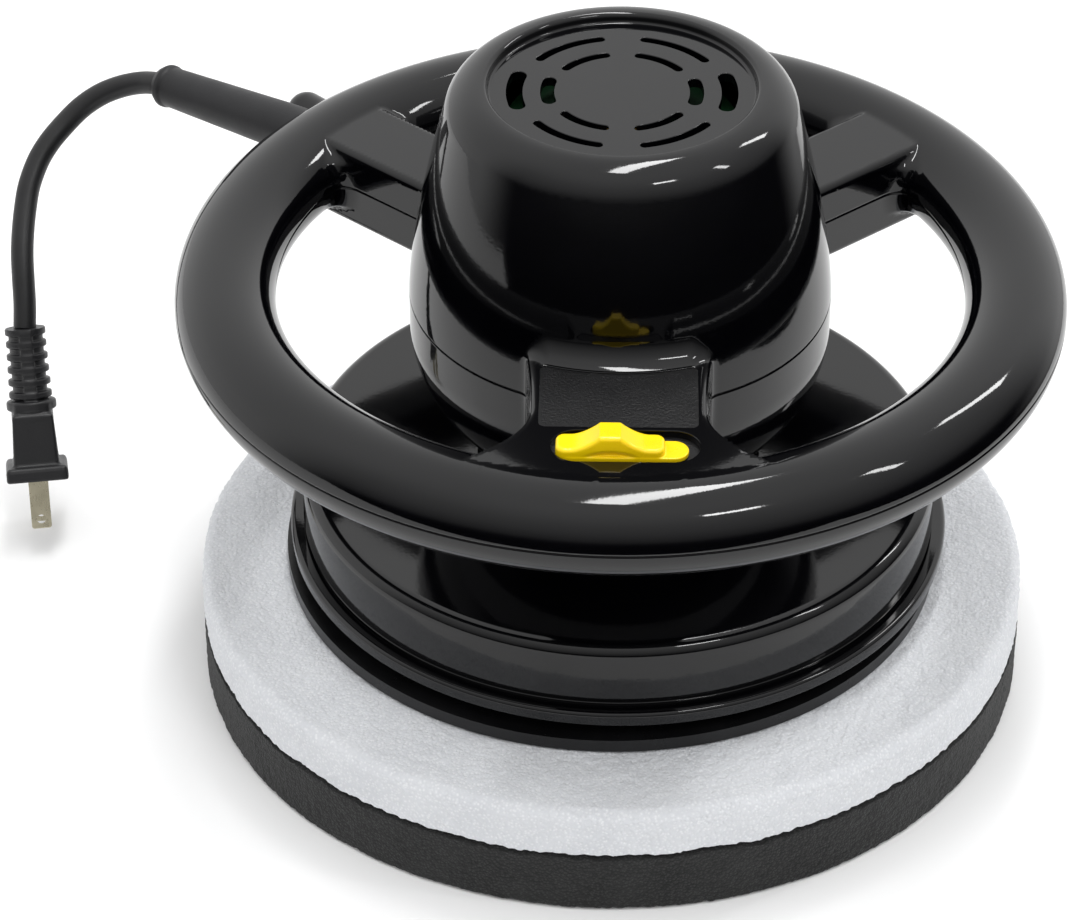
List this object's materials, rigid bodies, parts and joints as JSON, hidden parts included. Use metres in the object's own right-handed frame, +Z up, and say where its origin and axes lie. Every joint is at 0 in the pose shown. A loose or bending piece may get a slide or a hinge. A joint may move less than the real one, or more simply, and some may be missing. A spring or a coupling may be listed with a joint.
{
  "type": "rotary polisher",
  "caption": "Orbital car polisher: motor dome with ring handle on spokes, drum shroud, slide switch, short mains lead and a thick two-layer foam pad.",
  "frame": {"origin": "on the motor axis, on the surface that the pad's polishing face rests on, which is also the middle of the ring handle's box", "axes": "+Z up along the motor axis, -Y towards the switch, +X to the right seen from the switch"},
  "size_m": [0.3309, 0.263, 0.202],
  "materials": {
    "housing_black": "glossy",
    "shroud_black": "glossy",
    "plate_black": "satin",
    "switch_yellow": "glossy",
    "cord_black": "matte",
    "boot_black": "matte",
    "plug_black": "matte",
    "blade_nickel": "dull",
    "foam_white": "foam",
    "foam_charcoal": "foam",
    "steel": "bright",
    "dark_steel": "blackened",
    "cast_metal": "cast",
    "laminations": "varnished",
    "magnet_grey": "matte",
    "copper": "varnished",
    "brass": "bright",
    "carbon": "matte",
    "phenolic": "satin",
    "board_green": "satin",
    "component_black": "satin",
    "capacitor_yellow": "glossy",
    "nylon_white": "satin",
    "wire_insulation": "satin",
    "damper_rubber": "matte"
  },
  "bodies": {
    "housing": {"upper_housing": "housing_black", "lower_housing": "housing_black", "shroud": "shroud_black", "housing_screws": "steel", "shroud_screws": "steel", "motor_mount_plate": "cast_metal", "mount_plate_screws": "steel", "motor_screws": "steel", "motor_can": "steel", "field_magnets": "magnet_grey", "motor_damper_ring": "damper_rubber", "end_bell": "phenolic", "through_bolts": "steel", "top_bush": "brass", "brush_holders": "brass", "carbon_brushes": "carbon", "brush_springs": "steel", "motor_bearing_outer": "steel", "motor_bearing_balls": "steel", "rectifier_board": "board_green", "rectifier_bridge": "component_black", "noise_capacitor": "capacitor_yellow", "board_standoffs": "nylon_white", "switch_body": "component_black", "switch_screws": "steel", "strain_relief": "boot_black", "cord_clamp": "component_black", "cord_clamp_screws": "steel", "inner_lead": "cord_black", "inner_wires": "wire_insulation", "power_cord": "cord_black", "plug_body": "plug_black", "plug_blades": "blade_nickel"},
    "rotor": {"motor_shaft": "steel", "armature_core": "laminations", "armature_windings": "copper", "commutator": "copper", "motor_bearing_inner": "steel", "cooling_fan": "nylon_white", "counterweight": "cast_metal", "set_screws": "dark_steel", "orbit_bearing_outer": "steel", "orbit_bearing_balls": "steel", "outer_circlip": "dark_steel"},
    "pad": {"orbit_bearing_inner": "steel", "pad_spindle": "steel", "inner_circlip": "dark_steel", "plate_screws": "steel", "backing_plate": "plate_black", "foam_white": "foam_white", "foam_dark": "foam_charcoal"},
    "switch": {"switch_slider": "switch_yellow", "switch_toggle": "nylon_white"}
  },
  "joints": [
    {"name": "rotor_spin", "type": "hinge", "parent": "housing", "child": "rotor", "pos_m": [0, 0, 0.07], "axis": [0, 0, 1], "continuous": true},
    {"name": "pad_spin", "type": "hinge", "parent": "rotor", "child": "pad", "pos_m": [-0.002, -0.0015, 0.045], "axis": [0, 0, 1], "continuous": true},
    {"name": "switch_slide", "type": "slide", "parent": "housing", "child": "switch", "axis": [1, 0, 0], "range_m": [0, 0.0028]}
  ]
}
